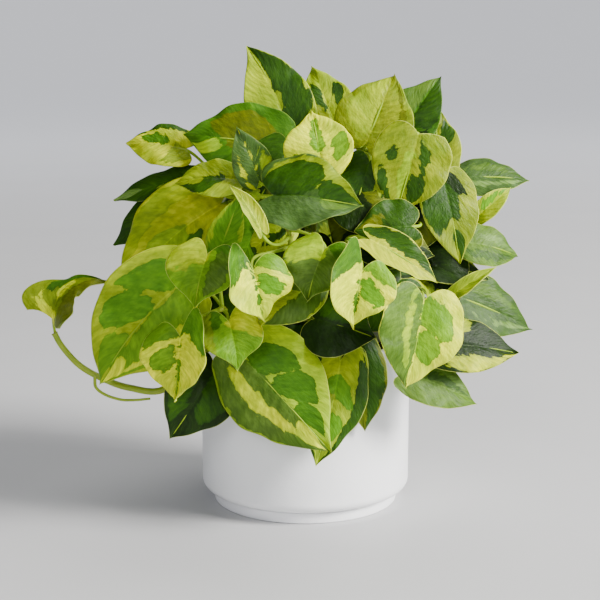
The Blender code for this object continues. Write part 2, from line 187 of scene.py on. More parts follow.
# each lamp: name, place, width, watts, colour
studio = dict(air=(0.84, 0.86, 0.92), airStrength=0.13, aim=(0, 0, 0.17),
              lamps=[("window", (3.0, -1.3, 2.0), 1.4, 440, (1.0, 0.98, 0.94)),
                     ("front", (-0.6, -2.6, 1.5), 1.1, 24, (0.97, 0.98, 1.0)),
                     ("above", (0.5, 0.7, 2.4), 1.3, 30, (1.0, 1.0, 0.97))])
world = bpy.data.worlds.new("studio air")
bpy.context.scene.world = world
world.use_nodes = True
air = world.node_tree.nodes["Background"]
air.inputs[0].default_value = (*studio["air"], 1.0)
air.inputs[1].default_value = studio["airStrength"]
for name, at, across, power, colour in studio["lamps"]:
    lamp = bpy.data.lights.new(name, "AREA")
    lamp.size, lamp.energy, lamp.color = across, power, colour
    holder = bpy.data.objects.new(name, lamp)
    holder.location = at
    aim = np.array(studio["aim"]) - np.array(at)
    holder.rotation_euler = (math.acos(-aim[2] / np.linalg.norm(aim)), 0, math.atan2(aim[1], aim[0]) - math.pi / 2)
    bpy.context.scene.collection.objects.link(holder)

floorWeb = Web("pale floor", Roughness=0.6)      # it glows faintly far off, so that the backdrop stays pale
spot = floorWeb.place()
ground = floorWeb.noise(spot, 6.0, 2.0)
farOff = floorWeb.add("ShaderNodeVectorMath", dict(operation="LENGTH"), {0: spot}, out=1).above(0.7, 3.2)
floorWeb.shader.inputs["Emission Strength"].default_value = 1.0
floorWeb.feed(Base_Color=floorWeb.mix(ground, (0.50, 0.50, 0.51, 1), (0.55, 0.55, 0.56, 1)),
              Emission_Color=floorWeb.mix(farOff, (0, 0, 0, 1), (0.48, 0.495, 0.54, 1)))
floorMesh = bpy.data.meshes.new("floor")
floorShape = dict(half=9, flat=4.5, rise=3, lines=61)      # flat as far as that, then a slow sweep upwards
lines = np.linspace(-floorShape["half"], floorShape["half"], floorShape["lines"])
across, deep = np.meshgrid(lines, lines)
beyond = (np.hypot(across, deep) - floorShape["flat"]) / (floorShape["half"] - floorShape["flat"])
height = floorShape["rise"] * np.clip(beyond, 0, 1) ** 2
floorMesh.from_pydata(np.stack([across, deep, height], -1).reshape(-1, 3).tolist(), [],
                      gridFaces(len(lines), len(lines)).tolist())
floorMesh.shade_smooth()
floorMesh.materials.append(floorWeb.material)
floor = bpy.data.objects.new("floor", floorMesh)
bpy.context.scene.collection.objects.link(floor)
print("camera, light and floor")


planter = dict(foot=0.009, footHeight=0.008, groove=0.0014, skirt=0.0075, wall=0.005, floor=0.008, fillet=0.006,
               around=160)


def arc(centreR, centreZ, radius, start, stop, steps):     # part of a circle, in degrees
    turns = np.radians(np.linspace(start, stop, steps))
    return np.stack([centreR + radius * np.cos(turns), centreZ + radius * np.sin(turns)], axis=1)


def turned(profile, around):
    # a profile of radius and height carried round Z: x = r cos a, y = r sin a, closed by a point at each end
    angles = 2 * math.pi * np.arange(around) / around
    rings = np.stack([profile[:, 0, None] * np.cos(angles), profile[:, 0, None] * np.sin(angles),
                      np.repeat(profile[:, 1, None], around, axis=1)], axis=-1)
    points = np.vstack([[[0, 0, profile[0, 1]]], rings.reshape(-1, 3), [[0, 0, profile[-1, 1]]]])
    last = len(points) - 1
    faces = gridFaces(len(profile), around, 1, wrap=True)
    k = np.arange(around)
    closing = [(0, 1 + (i + 1) % around, 1 + i) for i in k]
    closing += [(last, last - around + i, last - around + (i + 1) % around) for i in k]
    return points, list(faces) + closing


foot, groove, skirt, fillet = (planter[key] for key in ("foot", "groove", "skirt", "fillet"))
footTop, floorTop = planter["footHeight"], planter["floor"]
footR, inner = potRadius - foot, potRadius - planter["wall"]
lip, bodyBase = planter["wall"] * 0.3, footTop + groove
# the profile: base, foot, groove, rounded skirt, wall, rolled rim, inside wall, inside floor
potProfile = np.vstack([
    [[0.02, 0.0], [footR - 0.003, 0.0]], arc(footR - 0.0015, 0.0015, 0.0015, -90, 0, 5),
    arc(footR - 0.0008, footTop - 0.0008, 0.0008, 0, 80, 4),
    [[footR - groove, footTop + 0.0002], [footR - groove, bodyBase - 0.0002]],
    [[potRadius - skirt - 0.003, bodyBase]], arc(potRadius - skirt, bodyBase + skirt, skirt, -88, 0, 12),
    [[potRadius, 0.05], [potRadius, 0.09]],
    arc(potRadius - lip, rimHeight - lip, lip, 0, 90, 6), arc(inner + lip, rimHeight - lip, lip, 90, 180, 6),
    [[inner, 0.08], [inner, 0.03]],
    arc(inner - fillet, floorTop + fillet, fillet, 0, -90, 6), [[0.02, floorTop]]])
glazeWeb = Web("white glaze", IOR=1.5, Coat_Weight=0.15, Coat_Roughness=0.25)
where = glazeWeb.place()
cloud = glazeWeb.noise(where, 24.0, 3.0)
ripple = glazeWeb.noise(where, 60.0, 2.0)
specks = glazeWeb.noise(where, 700.0, 2.0).above(0.74, 0.80)
glaze = glazeWeb.mix(cloud, (0.85, 0.855, 0.87, 1), (0.90, 0.905, 0.91, 1))
glazeWeb.feed(Base_Color=glazeWeb.mix(specks * 0.35, glaze, (0.55, 0.54, 0.52, 1)),
              Roughness=0.34 + cloud * 0.14, Normal=glazeWeb.bump(ripple, 0.0006, 0.5))
points, faces = turned(potProfile, planter["around"])
potPiece = makePiece("planterGlazed", points, faces, glazeWeb.material)
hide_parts("planter")
print("planter")

earth = dict(rings=70, around=180, radius=inner * math.cos(math.pi / 56) - 0.0003, rough=0.0011, crumbs=520,
             under=0.0083, seed=11)
soilWeb = Web("potting soil", IOR=1.4)
where = soilWeb.place()
grain = soilWeb.noise(where, 260.0, 5.0, 0.65)
damp = soilWeb.noise(where, 60.0, 3.0)
dirt = soilWeb.mix(grain, (0.012, 0.008, 0.005, 1), (0.085, 0.055, 0.033, 1))
dirt = soilWeb.mix(damp.above(0.5, 0.65) * 0.5, dirt, (0.12, 0.075, 0.04, 1))
dirt = soilWeb.mix(soilWeb.value("pearl"), dirt, (0.62, 0.60, 0.55, 1))
soilMaterial = soilWeb.feed(Base_Color=dirt, Roughness=0.85 + grain * 0.12,
                            Normal=soilWeb.bump(grain, 0.0012, 0.8))


def lumps(x, y):                 # rolling unevenness: sums of crossed waves, about -1 to 1
    return (np.sin(310 * x + 1.1) * np.sin(290 * y + 0.4) + 0.7 * np.sin(640 * x + 510 * y)
            + 0.6 * np.sin(820 * y - 470 * x + 2.0) + 0.5 * np.sin(1500 * x + 3) * np.sin(1370 * y)) / 2.2


def soilHeight(x, y):            # a shallow dome, 1 - (r / R) squared, with the lumps on it
    return soilTop + crown * (1 - (x * x + y * y) / earth["radius"] ** 2) + earth["rough"] * lumps(x, y)


# the bed: rings of the uneven top, two rings down the side, one tucked in below, and a point at each end
around, soilR = earth["around"], earth["radius"]
ringR = np.linspace(1 / earth["rings"], 1, earth["rings"]) ** 0.8 * soilR
angles = 2 * math.pi * np.arange(around) / around
bedX, bedY = ringR[:, None] * np.cos(angles), ringR[:, None] * np.sin(angles)
settle = np.clip((soilR - ringR[:, None]) / 0.004, 0, 1)      # by the wall the bed dips and is even
bedZ = soilHeight(bedX, bedY) - (0.002 + earth["rough"] * lumps(bedX, bedY)) * (1 - settle)
topRings = np.stack([bedX, bedY, bedZ], axis=-1)
lowRings = np.stack([np.stack([bedX[-1] * k, bedY[-1] * k, np.full(around, z)], -1)
                     for k, z in ((1, 0.05), (1, earth["under"] + 0.008), (0.88, earth["under"]))])
rings = np.concatenate([topRings, lowRings])
bed = np.vstack([[[0, 0, soilTop + crown]], rings.reshape(-1, 3), [[0, 0, earth["under"]]]])
last = len(bed) - 1
k, after = np.arange(around), (np.arange(around) + 1) % around
bedFaces = gridFaces(len(rings), around, 1, wrap=True)[:, ::-1].tolist()
bedFaces += np.stack([np.zeros_like(k), 1 + k, 1 + after], 1).tolist()
bedFaces += np.stack([np.full_like(k, last), last - around + after, last - around + k], 1).tolist()
# crumbs of bark and pearls of perlite: each an octahedron split once and rounded, then squashed and turned
rng = np.random.default_rng(earth["seed"])
lump = [[1, 0, 0], [-1, 0, 0], [0, 1, 0], [0, -1, 0], [0, 0, 1], [0, 0, -1]]
lumpFaces, middles = [], {}
for triangle in ((0, 2, 4), (2, 1, 4), (1, 3, 4), (3, 0, 4), (2, 0, 5), (1, 2, 5), (3, 1, 5), (0, 3, 5)):
    ids = []
    for pair in ((0, 1), (1, 2), (2, 0)):
        i, j = sorted(triangle[n] for n in pair)
        if (i, j) not in middles:
            middles[i, j] = len(lump)
            lump.append(normalised(np.add(lump[i], lump[j])).tolist())
        ids.append(middles[i, j])
    first, second, third = triangle
    lumpFaces += [[first, ids[0], ids[2]], [ids[0], second, ids[1]], [ids[2], ids[1], third], ids]
lump, lumpFaces = np.array(lump, float), np.array(lumpFaces)
crumbs = earth["crumbs"]
fromMiddle = np.sqrt(rng.random(crumbs)) * (soilR - 0.005)
turn = rng.random(crumbs) * 2 * math.pi
crumbX, crumbY = fromMiddle * np.cos(turn), fromMiddle * np.sin(turn)
isPearl = rng.random(crumbs) < 0.10
bulk = np.where(isPearl, 0.0011, 0.0008 + 0.0024 * rng.random(crumbs) ** 2)
squash = np.stack([bulk * (0.7 + 0.9 * rng.random(crumbs)), bulk * (0.5 + 0.4 * rng.random(crumbs)),
                   bulk * 0.45], 1)
squash[isPearl] = bulk[isPearl, None] * (0.8 + 0.3 * rng.random((int(isPearl.sum()), 3)))
spin = (rng.random(crumbs) * 6.28)[:, None]
bits = lump[None] * squash[:, None, :] * (0.8 + 0.4 * rng.random((crumbs, len(lump), 1)))
crumbPoints = np.stack([bits[..., 0] * np.cos(spin) - bits[..., 1] * np.sin(spin) + crumbX[:, None],
                        bits[..., 0] * np.sin(spin) + bits[..., 1] * np.cos(spin) + crumbY[:, None],
                        bits[..., 2] + soilHeight(crumbX, crumbY)[:, None] + 0.0003], -1).reshape(-1, 3)
crumbFaces = (lumpFaces[None] + (np.arange(crumbs) * len(lump))[:, None, None]).reshape(-1, 3) + len(bed)
pearls = np.concatenate([np.zeros(len(bed)), np.repeat(isPearl.astype(float), len(lump))])
soilPiece = makePiece("soilBed", np.vstack([bed, crumbPoints]), bedFaces + crumbFaces.tolist(), soilMaterial,
                      numbers=dict(pearl=pearls))
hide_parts("soil")
print("soil")


def smoothPath(knots, steps):    # a rounded curve through the knots (Catmull-Rom)
    knots = np.array(knots, float)
    padded = np.vstack([2 * knots[0] - knots[1], knots, 2 * knots[-1] - knots[-2]])
    t = np.arange(steps)[:, None] / steps
    runs = [0.5 * (2 * b + (c - a) * t + (2 * a - 5 * b + 4 * c - d) * t * t + (3 * b - a - 3 * c + d) * t ** 3)
            for a, b, c, d in zip(padded[:-3], padded[1:-2], padded[2:-1], padded[3:])]
    return np.vstack(runs + [knots[-1:]])


def carriedFrames(path, firstAcross):  # axes carried along a path without twisting
    tangents = normalised(np.gradient(path, axis=0))
    across, last = [], np.asarray(firstAcross, float)
    for t in tangents:
        last = normalised(last - t * np.dot(last, t))
        across.append(last)
    across = np.array(across)
    return tangents, across, np.cross(tangents, across)


def tube(path, radii, sides, firstAcross, section):
    # round rings along a path: centre + radius (cos a across + sin a up), the section scaling each direction
    tangents, across, up = carriedFrames(path, firstAcross)
    a = 2 * math.pi * np.arange(sides) / sides
    acrossPart, upPart = (np.cos(a) * section(a))[None, :, None], (np.sin(a) * section(a))[None, :, None]
    ring = acrossPart * across[:, None, :] + upPart * up[:, None, :]
    rings = path[:, None, :] + np.asarray(radii).reshape(-1, 1, 1) * ring
    last = (len(path) - 1) * sides
    points = np.vstack([rings.reshape(-1, 3), path[:1], path[-1:]])
    k, after = np.arange(sides), (np.arange(sides) + 1) % sides
    startCap = np.stack([np.full(sides, last + sides), after, k], axis=1).tolist()
    endCap = np.stack([np.full(sides, last + sides + 1), last + k, last + after], axis=1).tolist()
    return points, gridFaces(len(path), sides, 0, wrap=True).tolist() + startCap + endCap


# each vine: where it leaves the soil (x, y), then the points it grows through
vines = {
    "vine_top": dict(root=(2, 10), way=[(4, 2, 40), (8, -12, 95), (20, -24, 138), (28, -28, 156)]),
    "vine_left": dict(root=(-22, 6), way=[(-28, -4, 40), (-40, -20, 85), (-56, -32, 116), (-66, -34, 130)]),
    "vine_right": dict(root=(26, 4), way=[(38, -6, 45), (58, -22, 85), (78, -28, 106), (88, -22, 112)]),
    "vine_front": dict(root=(-4, -34), way=[(-4, -50, 25), (-6, -72, 55), (-10, -92, 80), (-12, -100, 96)]),
    "vine_front_left": dict(root=(-30, -26), way=[(-44, -48, 15), (-54, -70, 30), (-57, -90, 38), (-58, -104, 40)]),
    "vine_front_right": dict(root=(34, -22), way=[(50, -44, 16), (66, -60, 24), (82, -62, 26)]),
    "vine_back": dict(root=(2, 38), way=[(2, 52, 35), (6, 62, 70), (4, 66, 105)]),
    "vine_trailing": dict(swell=1.3, root=(-48, -8), way=[
        (-54, -24, 4), (-64, -48, 7), (-80, -62, -8), (-102, -66, -26), (-125, -64, -25), (-143, -60, -20),
        (-161, -56, -11), (-174, -52, 2), (-180, -50, 12)]),
    "vine_side_shoot": dict(free=True, radius=0.0012, way=[
        (-150, -63, -17), (-149, -66, -24), (-142, -68, -29), (-131, -70, -32), (-120, -71, -32),
        (-110, -71, -31)]),
}
vineShape = dict(radius=0.0022, taper=0.28, knuckle=0.22, sides=14, rootDepth=0.026)

leafDefaults = dict(bow=4, side=0, fold=(6, 6), curl=(-14, -14), lobe=(0.16, 0.16), leave=0.35, arrive=0.35,
                    taper=(0, 0, 0, 1))  # how far each half narrows, and where that begins and ends
blade = dict(rows=66, cols=45, thick=0.00035, veins=8, slant=0.26, quilt=0.00013, groove=0.0005, ruffle=0.0013,
             sway=0.0013, stalk=0.0012)


def leaf(vine, at, base, tip, face, width, look, **more):
    return dict(leafDefaults, vine="vine_" + vine, at=at, base=base, tip=tip, face=face, width=width,
                look=look, **more)


# each leaf: its vine and how far along, the foot and tip of its blade, which way it faces, its width, its look
# (ground colour, then up to three colours with patches: along, across, half length, half width), and exceptions
narrowing = (0.5, 0.5, 0.5, 0.92)    # the taper of the folded leaves
# the look of the darkest greens, for leaves deep inside the plant: painted shade
paintedShadeLook = ("dark", ("deep", [(0.4, 0.3, 0.3, 0.4)]))
leaves = {
    # large leaves hanging over the rim
    "front_large": leaf("front", 0.45, (-44, -94, 6), (17, -112, -58), (0.1, -0.95, 0.2), 78, ("sharp",
        ("grey", [(0.5, -0.46, 0.8, 0.5)]),
        ("green", [(0.22, 0.34, 0.12, 0.34), (0.47, 0.36, 0.13, 0.36), (0.72, 0.3, 0.12, 0.3)]),
        ("butter", [(0.42, -0.4, 0.34, 0.14), (0.82, -0.3, 0.12, 0.3)])), bow=5, fold=(-22, 4)),
    "left_large": leaf("front_left", 0.62, (-86, -92, 56), (-143, -90, -16), (0.05, -0.95, 0.25), 74, ("lime",
        ("sage", [(0.55, 0.45, 0.62, 0.42), (0.78, -0.3, 0.2, 0.4)]),
        ("bright", [(0.16, -0.42, 0.12, 0.4), (0.42, -0.42, 0.13, 0.4)]),
        ("cream", [(0.5, 0.66, 0.4, 0.1), (0.86, 0.4, 0.12, 0.3)])), bow=6, side=-4, lobe=(0.18, 0.1)),
    "front_mottled": leaf("front", 0.33, (24, -86, 0), (7, -96, -73), (0.3, -0.95, 0.15), 50, ("lime",
        ("deep", [(0.45, -0.8, 0.5, 0.16), (0.45, 0.82, 0.5, 0.2)]),
        ("bright", [(0.25, 0.1, 0.1, 0.5), (0.6, 0.25, 0.12, 0.3)]),
        ("moss", [(0.42, -0.3, 0.08, 0.3), (0.8, 0, 0.1, 0.5)]))),
    "front_strip": leaf("front_right", 0.3, (38, -73, 6), (42, -75, -54), (0.2, -0.95, 0.1), 36, ("olive",
        ("deep", [(0.5, 0.5, 0.6, 0.4)]), ("dark", [(0.4, -0.6, 0.3, 0.3)]))),
    "under_left": leaf("front_left", 0.34, (-64, -76, -10), (-95, -86, -56), (0.15, -0.95, 0.2), 52, ("dark",
        ("deep", [(0.3, 0.4, 0.3, 0.4), (0.5, -0.5, 0.3, 0.3)])), leave=0.12),
    # small cupped hearts
    "heart_left": leaf("front_left", 0.97, (-84, -120, 24), (-88, -122, -20), (0, -0.85, 0.5), 54, ("cream",
        ("sage", [(0, -0.5, 0.18, 0.66)]), ("bright", [(-0.02, 0.55, 0.22, 0.7), (0.62, 0.04, 0.4, 0.06)]),
        ("sage", [(0.36, -0.4, 0.15, 0.38)])), fold=(5, 42), lobe=(0.22, 0.45), curl=(-30, 5),
        taper=narrowing),
    "heart_middle": leaf("front", 0.8, (-35, -128, 72), (-28, -126, 36), (0, -0.85, 0.5), 50, ("butter",
        ("sage", [(0, 0.5, 0.18, 0.66)]), ("green", [(-0.02, -0.55, 0.22, 0.7), (0.62, -0.04, 0.4, 0.08)]),
        ("bright", [(0.36, 0.4, 0.15, 0.38)])), fold=(42, 5), lobe=(0.5, 0.22), curl=(5, -30),
        taper=narrowing),
    "heart_right": leaf("front", 0.62, (37, -122, 70), (31, -120, 30), (0, -0.85, 0.5), 50, ("butter",
        ("sage", [(0, 0.5, 0.18, 0.66)]), ("green", [(-0.02, -0.55, 0.22, 0.7), (0.62, -0.04, 0.4, 0.08)]),
        ("bright", [(0.36, 0.4, 0.15, 0.38)])), fold=(42, 5), lobe=(0.5, 0.22), curl=(5, -30),
        taper=narrowing),
    # mid-sized leaves of the front
    "front_upper_left": leaf("front_left", 0.84, (-66, -112, 78), (-74, -122, 44), (-0.2, -0.75, 0.6), 50,
        ("sage", ("lime", [(-0.02, -0.5, 0.36, 0.7)]), ("green", [(0, 0.6, 0.2, 0.5)]),
        ("grey", [(0.4, 0.5, 0.3, 0.3)])), lobe=(0.3, 0.3), fold=(20, 10), taper=narrowing),
    "front_lower_left": leaf("front_left", 0.74, (-52, -108, 32), (-46, -118, 0), (0.2, -0.8, 0.55), 42,
        ("sage", ("straw", [(-0.02, 0.5, 0.36, 0.7)]), ("green", [(0, -0.6, 0.2, 0.5)]),
        ("moss", [(0.3, -0.85, 0.3, 0.2)])), lobe=(0.3, 0.3), fold=(10, 20), taper=narrowing),
    "front_upper_right": leaf("front", 0.97, (12, -112, 81), (1, -118, 48), (-0.2, -0.75, 0.6), 48, ("grey",
        ("sharp", [(-0.02, -0.5, 0.36, 0.7)]), ("green", [(0, 0.6, 0.2, 0.5)]),
        ("moss", [(0.3, 0.85, 0.3, 0.2)])), lobe=(0.3, 0.3), fold=(20, 10), taper=narrowing),
    "front_pale": leaf("front", 0.7, (4, -104, 58), (-30, -110, 30), (0.1, -0.85, 0.5), 36, ("lime",
        ("grey", [(0.5, 0.5, 0.6, 0.5), (0.2, -0.4, 0.12, 0.4)]))),
    "dark_centre": leaf("front", 0.52, (6, -88, 30), (48, -94, 18), (0, -0.9, 0.45), 50, ("dark",
        ("deep", [(0.5, 0.5, 0.4, 0.4)]))),
    # right side
    "right_round": leaf("front_right", 0.8, (80, -102, 46), (68, -108, -14), (0.25, -0.9, 0.35), 64, ("butter",
        ("sage", [(0.22, 0.34, 0.16, 0.38), (0.52, 0.28, 0.16, 0.34)]), ("grey", [(0.4, -0.5, 0.7, 0.5)]),
        ("sharp", [(0.4, -0.3, 0.5, 0.1)])), fold=(24, 6)),
    "right_low": leaf("front_right", 0.92, (72, -76, -12), (122, -64, -37), (0.3, -0.8, 0.55), 36, ("grey",
        ("slate", [(0.5, 0.3, 0.3, 0.2)]), ("mist", [(0.4, 0.6, 0.3, 0.12)]))),
    "right_dark": leaf("front_right", 0.99, (90, -74, 10), (152, -54, -2), (0.3, -0.8, 0.5), 42, ("dark",
        ("straw", [(0.24, 0.66, 0.18, 0.34), (0.5, -0.7, 0.4, 0.3)]))),
    "right_grey": leaf("right", 0.55, (106, -40, 38), (166, -20, 8), (0.2, -0.85, 0.5), 46, ("slate",
        ("grey", [(0.4, 0.5, 0.3, 0.2)]), ("mist", [(0.7, -0.4, 0.3, 0.14)]))),
    "right_rolled": leaf("right", 0.47, (102, -68, 42), (134, -62, 62), (0.1, -0.8, 0.6), 12, ("lime",
        ("moss", [(0.5, -0.5, 0.5, 0.2)])), curl=(30, 30)),
    "right_olive": leaf("right", 0.62, (86, -52, 62), (132, -34, 48), (0.1, -0.6, 0.8), 36, ("dark",
        ("moss", [(0.4, 0.85, 0.6, 0.2)]))),
    "right_mid": leaf("right", 0.82, (114, -46, 77), (153, -30, 64), (0.2, -0.8, 0.6), 34, ("grey",
        ("mist", [(0.5, 0.4, 0.3, 0.2)]), ("slate", [(0.4, -0.5, 0.4, 0.2)]))),
    "right_high": leaf("right", 0.99, (112, -8, 118), (165, 4, 115), (0.1, -0.7, 0.7), 34, ("slate",
        ("grey", [(0.4, 0.5, 0.3, 0.2)]), ("mist", [(0.5, -0.4, 0.4, 0.14)]))),
    "right_folded": leaf("right", 0.92, (124, -24, 92), (149, -14, 112), (0.2, -0.8, 0.5), 18, ("lime",
        ("bright", [(0.4, 0.4, 0.3, 0.3)])), fold=(30, 30)),
    # centre
    "centre_hanging": leaf("right", 0.74, (77, -70, 156), (62, -66, 98), (0.1, -0.95, 0.1), 56, ("khaki",
        ("deep", [(0.62, 0.36, 0.14, 0.34), (0.24, 0.3, 0.2, 0.14), (0.66, -0.75, 0.2, 0.16), (0.3, -0.5, 0.07, 0.12)]),
        ("sharp", [(0.5, -0.1, 0.3, 0.16)]), ("moss", [(0.1, 0.5, 0.1, 0.3)])), lobe=(0.1, 0.04), leave=0.08),
    "centre_side": leaf("right", 0.79, (96, -52, 124), (108, -60, 64), (0.2, -0.9, 0.3), 43, ("khaki",
        ("deep", [(0.24, -0.3, 0.34, 0.66), (0.78, 0.3, 0.12, 0.4)]), ("dark", [(0.1, 0.3, 0.1, 0.3)])),
        lobe=(0.1, 0.1)),
    "centre_olive": leaf("right", 0.68, (73, -77, 93), (33, -81, 90), (0, -0.93, 0.35), 42, ("deep",
        ("olive", [(0.4, 0.8, 0.6, 0.2), (0.7, -0.4, 0.2, 0.3)])), bow=2),
    "centre_rolled": leaf("right", 0.4, (44, -95, 86), (90, -92, 56), (0.1, -0.8, 0.6), 30, ("straw",
        ("deep", [(0.4, 0.6, 0.5, 0.36)])), curl=(30, 10)),
    # crown
    "top_right_round": leaf("right", 0.95, (92, -28, 124), (94, -16, 171), (0.1, -0.95, 0.1), 38, ("khaki",
        ("olive", [(0.3, -0.3, 0.12, 0.2)]), ("deep", [(0.62, -0.5, 0.16, 0.36), (0.42, 0.5, 0.12, 0.2)]),
        ("sharp", [(0.3, 0.3, 0.2, 0.3)]))),
    "top_right_grey": leaf("top", 0.9, (62, -40, 146), (96, -26, 193), (-0.1, -0.9, 0.3), 42, ("green",
        ("grey", [(0.75, 0.5, 0.4, 0.45)]), ("deep", [(0.75, -0.5, 0.4, 0.5)]),
        ("dark", [(0.05, 0, 0.14, 1.0)]))),
    "top_yellow": leaf("top", 0.97, (42, -56, 148), (62, -42, 195), (-0.1, -0.95, 0.2), 56, ("khaki",
        ("olive", [(0.5, -0.68, 0.6, 0.1)]), ("moss", [(0.5, -0.93, 0.6, 0.12)]),
        ("lime", [(0.5, 0.4, 0.4, 0.4)]))),
    "top_back": leaf("top", 0.86, (22, -18, 156), (4, -8, 199), (0, -0.95, 0.2), 40, ("lime",
        ("deep", [(0.5, 0.3, 0.2, 0.26), (0.5, -0.6, 0.12, 0.3)]), ("khaki", [(0.2, 0.4, 0.2, 0.3)]))),
    "pale_heart": leaf("top", 0.74, (10, -86, 138), (4, -78, 172), (0, -0.9, 0.3), 48, ("butter",
        ("sage", [(0.5, 0, 0.34, 0.2), (0.32, -0.62, 0.17, 0.26), (0.1, 0.5, 0.12, 0.26)])), lobe=(0.3, 0.4)),
    "glossy_centre": leaf("top", 0.6, (-22, -104, 118), (38, -116, 112), (0, -0.8, 0.6), 62, ("slate",
        ("moss", [(0.5, 0.62, 0.5, 0.4)]), ("deep", [(0.24, 0.4, 0.26, 0.42), (0.7, 0.3, 0.2, 0.3)]),
        ("grey", [(0.7, -0.3, 0.14, 0.3)])), fold=(26, 16), bow=3),
    "upright_grey": leaf("top", 0.65, (-32, -79, 125), (-47, -86, 162), (0.1, -0.95, 0.1), 28, ("slate",
        ("straw", [(0.3, 0.6, 0.3, 0.1), (0.6, -0.1, 0.3, 0.05)]), ("moss", [(0.2, -0.6, 0.3, 0.3)])),
        leave=0.15),
    "curled_pale": leaf("front", 0.9, (-30, -136, 100), (-50, -130, 128), (0.3, -0.8, 0.5), 14, ("lime",
        ("moss", [(0.5, 0.3, 0.5, 0.2)]), ("straw", [(0.5, -0.6, 0.5, 0.2)])), curl=(40, 40)),
    "spire": leaf("top", 0.8, (-12, -30, 150), (-42, -18, 214), (0, -0.95, 0.15), 50, ("lime",
        ("deep", [(0.5, -0.5, 0.7, 0.45)]), ("moss", [(0.1, -0.7, 0.12, 0.3)])), bow=2, side=-4),
    # left side
    "left_top": leaf("left", 0.99, (-20, -50, 146), (-86, -36, 152), (0, -0.9, 0.4), 58, ("green",
        ("sharp", [(0.72, 0.5, 0.1, 0.4), (0.2, 0.7, 0.1, 0.3)]), ("olive", [(0.4, -0.3, 0.3, 0.5)]))),
    "left_tip": leaf("left", 0.93, (-86, -30, 142), (-129, -18, 144), (0, -0.75, 0.65), 38, ("straw",
        ("green", [(0.5, -0.3, 0.2, 0.3)]), ("deep", [(0.5, -0.9, 0.5, 0.14)]),
        ("moss", [(0.1, 0.3, 0.14, 0.5)]))),
    "left_fold": leaf("left", 0.68, (-50, -78, 126), (-90, -74, 122), (0, -0.8, 0.6), 30, ("moss",
        ("deep", [(0.3, 0, 0.2, 0.4), (0.6, 0.6, 0.2, 0.3)]), ("lime", [(0.6, -0.4, 0.3, 0.3)]))),
    "left_olive": leaf("left", 0.62, (-60, -62, 106), (-130, -62, 40), (-0.2, -0.9, 0.4), 72, ("straw",
        ("green", [(0.42, 0.5, 0.14, 0.3), (0.1, 0.5, 0.12, 0.3)]), ("sharp", [(0.6, 0.1, 0.3, 0.4)]),
        ("lime", [(0.5, -0.75, 0.5, 0.22)])), side=-5),
    "left_behind": leaf("left", 0.54, (-86, -34, 108), (-138, -30, 72), (-0.3, -0.8, 0.5), 40, ("deep",
        ("moss", [(0.3, 0.3, 0.2, 0.2)]))),
    "left_dark": leaf("left", 0.72, (-76, -40, 122), (-138, -26, 104), (-0.1, -0.7, 0.7), 28, ("deep",
        ("mist", [(0.85, 0, 0.2, 0.8)]), ("moss", [(0.2, 0.2, 0.2, 0.3)]))),
    "left_upright": leaf("left", 0.46, (-60, -84, 74), (-44, -86, 117), (0, -0.95, 0.2), 24, ("bright",
        ("sharp", [(0.5, 0.9, 0.6, 0.15), (0.5, -0.9, 0.6, 0.15)]))),
    # trailing vine
    "trailing": leaf("trailing", 1.0, (-181, -50, 22), (-138, -46, 47), (0, -0.95, 0.2), 58, ("moss",
        ("cream", [(0, 0.1, 0.1, 0.5), (0.4, 0, 0.2, 0.2)]), ("olive", [(0.5, -0.7, 0.5, 0.4)]),
        ("green", [(0.6, 0.6, 0.3, 0.4)])), bow=1, side=16, fold=(64, 4), curl=(-14, -14), lobe=(0.1, -0.1),
        taper=(0, 0.85, 0.05, 0.5), leave=0.2, arrive=0.2),
    # back
    "back_centre": leaf("back", 0.8, (4, 88, 92), (8, 104, 26), (0, 0.9, 0.4), 60, ("green",
        ("butter", [(0.3, 0.5, 0.2, 0.3), (0.6, -0.5, 0.2, 0.3)]))),
    "back_left": leaf("back", 0.7, (-46, 70, 88), (-92, 86, 34), (-0.4, 0.8, 0.45), 58, ("lime",
        ("green", [(0.4, -0.4, 0.3, 0.4), (0.6, 0.4, 0.2, 0.3)]))),
    "back_right": leaf("back", 0.62, (52, 70, 84), (98, 82, 28), (0.4, 0.8, 0.45), 58, ("bright",
        ("butter", [(0.4, 0.7, 0.3, 0.25), (0.7, -0.4, 0.15, 0.3)]))),
    "back_low": leaf("back", 0.4, (-4, 88, 26), (-8, 98, -36), (0, 0.95, 0.25), 54, ("grey",
        ("butter", [(0.4, 0.6, 0.3, 0.3)]), ("deep", [(0.3, -0.5, 0.2, 0.4)]))),
    "back_high": leaf("back", 0.97, (0, 60, 122), (-4, 44, 178), (0, 0.8, 0.5), 50, ("sharp",
        ("deep", [(0.5, 0.4, 0.3, 0.4), (0.3, -0.6, 0.15, 0.3)]))),
    "side_right": leaf("back", 0.5, (84, 30, 62), (142, 40, 30), (0.5, 0.2, 0.8), 50, ("green",
        ("lime", [(0.5, -0.6, 0.4, 0.3)]))),
}
